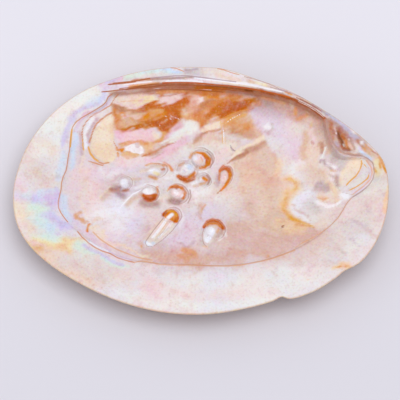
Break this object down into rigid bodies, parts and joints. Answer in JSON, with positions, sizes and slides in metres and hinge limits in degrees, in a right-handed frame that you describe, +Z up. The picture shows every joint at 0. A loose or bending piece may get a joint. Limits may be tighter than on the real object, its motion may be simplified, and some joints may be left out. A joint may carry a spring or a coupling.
{
  "type": "pearl mussel shell valve",
  "caption": "One valve of a large freshwater pearl mussel, lying open side up, its mother-of-pearl bowl carrying pearls grown fast to the floor.",
  "frame": {"origin": "middle of the bounding box, at the height of the surface that the valve rests on", "axes": "+X points to the front end of the valve, +Y to its hinge, +Z up out of the open side"},
  "size_m": [0.181, 0.1272, 0.0233],
  "materials": {
    "nacre": "polished mother-of-pearl, iridescent, with tan and orange stains"
  },
  "bodies": {
    "root": {"shell": "nacre"}
  },
  "joints": []
}
